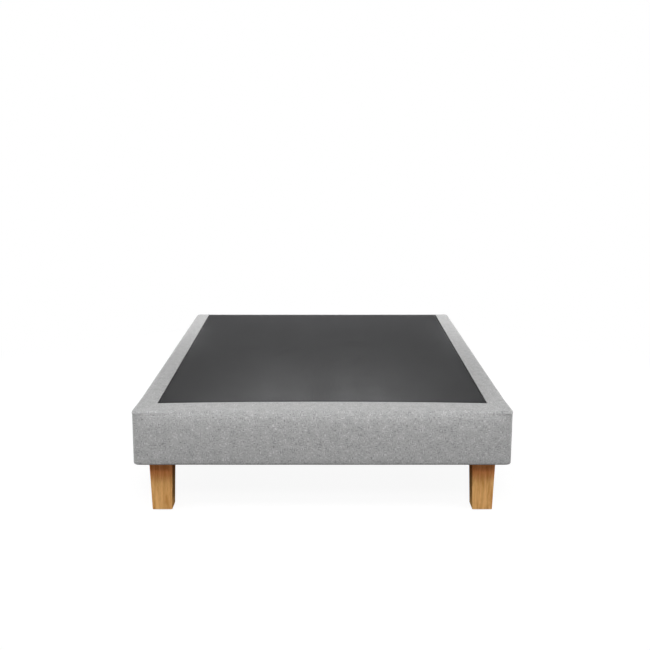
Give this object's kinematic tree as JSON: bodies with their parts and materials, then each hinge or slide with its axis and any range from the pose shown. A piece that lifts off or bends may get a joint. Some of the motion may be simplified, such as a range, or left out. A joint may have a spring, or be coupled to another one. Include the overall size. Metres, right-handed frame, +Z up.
{
  "type": "divan bed base",
  "caption": "Low upholstered double divan base: a grey fabric box with a dark non-slip deck panel, on tapered wooden legs at its corners.",
  "frame": {"origin": "on the floor, below the middle of the bed's plan", "axes": "+X across the bed to the right seen from the foot, +Y from foot to head, +Z up"},
  "size_m": [1.35, 1.9, 0.387],
  "materials": {
    "grey_melange_cloth": "mid-grey melange woven upholstery cloth",
    "charcoal_grip_cloth": "charcoal non-slip deck cloth with a faint sheen",
    "black_nonwoven_lining": "thin black spun lining",
    "polyester_wadding": "white polyester wadding",
    "needled_felt": "grey needled felt",
    "hardboard": "brown hardboard, smooth on one face",
    "softwood": "planed softwood, unfinished",
    "birch_plywood": "plywood, unfinished",
    "oiled_beech": "warm brown hardwood with a satin oil finish",
    "zinc_plated_steel": "bright zinc-plated steel",
    "glide_plastic": "moulded black plastic"
  },
  "bodies": {
    "root": {"beam_hanger_foot": "zinc_plated_steel", "beam_hanger_head": "zinc_plated_steel", "centre_beam": "softwood", "corner_plate_foot_left": "birch_plywood", "corner_plate_foot_right": "birch_plywood", "corner_plate_head_left": "birch_plywood", "corner_plate_head_right": "birch_plywood", "corner_plate_screws": "zinc_plated_steel", "corner_screws": "zinc_plated_steel", "cover_foot": "grey_melange_cloth", "cover_head": "grey_melange_cloth", "cover_left": "grey_melange_cloth", "cover_right": "grey_melange_cloth", "deck_board_foot": "hardboard", "deck_board_head": "hardboard", "deck_felt": "needled_felt", "deck_panel": "charcoal_grip_cloth", "foot_rail": "softwood", "glue_block_foot_left": "softwood", "glue_block_foot_right": "softwood", "glue_block_head_left": "softwood", "glue_block_head_right": "softwood", "hanger_bolts": "zinc_plated_steel", "hanger_screws": "zinc_plated_steel", "head_rail": "softwood", "headboard_nuts": "zinc_plated_steel", "leg_foot_left": "oiled_beech", "leg_foot_right": "oiled_beech", "leg_glides": "glide_plastic", "leg_head_left": "oiled_beech", "leg_head_right": "oiled_beech", "leg_nuts": "zinc_plated_steel", "side_rail_left": "softwood", "side_rail_right": "softwood", "slat_01": "softwood", "slat_02": "softwood", "slat_03": "softwood", "slat_04": "softwood", "slat_05": "softwood", "slat_06": "softwood", "slat_07": "softwood", "slat_08": "softwood", "slat_09": "softwood", "slat_10": "softwood", "slat_11": "softwood", "slat_12": "softwood", "slat_13": "softwood", "slat_brads": "zinc_plated_steel", "underside_lining": "black_nonwoven_lining", "wadding_foot": "polyester_wadding", "wadding_head": "polyester_wadding", "wadding_left": "polyester_wadding", "wadding_right": "polyester_wadding"}
  },
  "joints": []
}
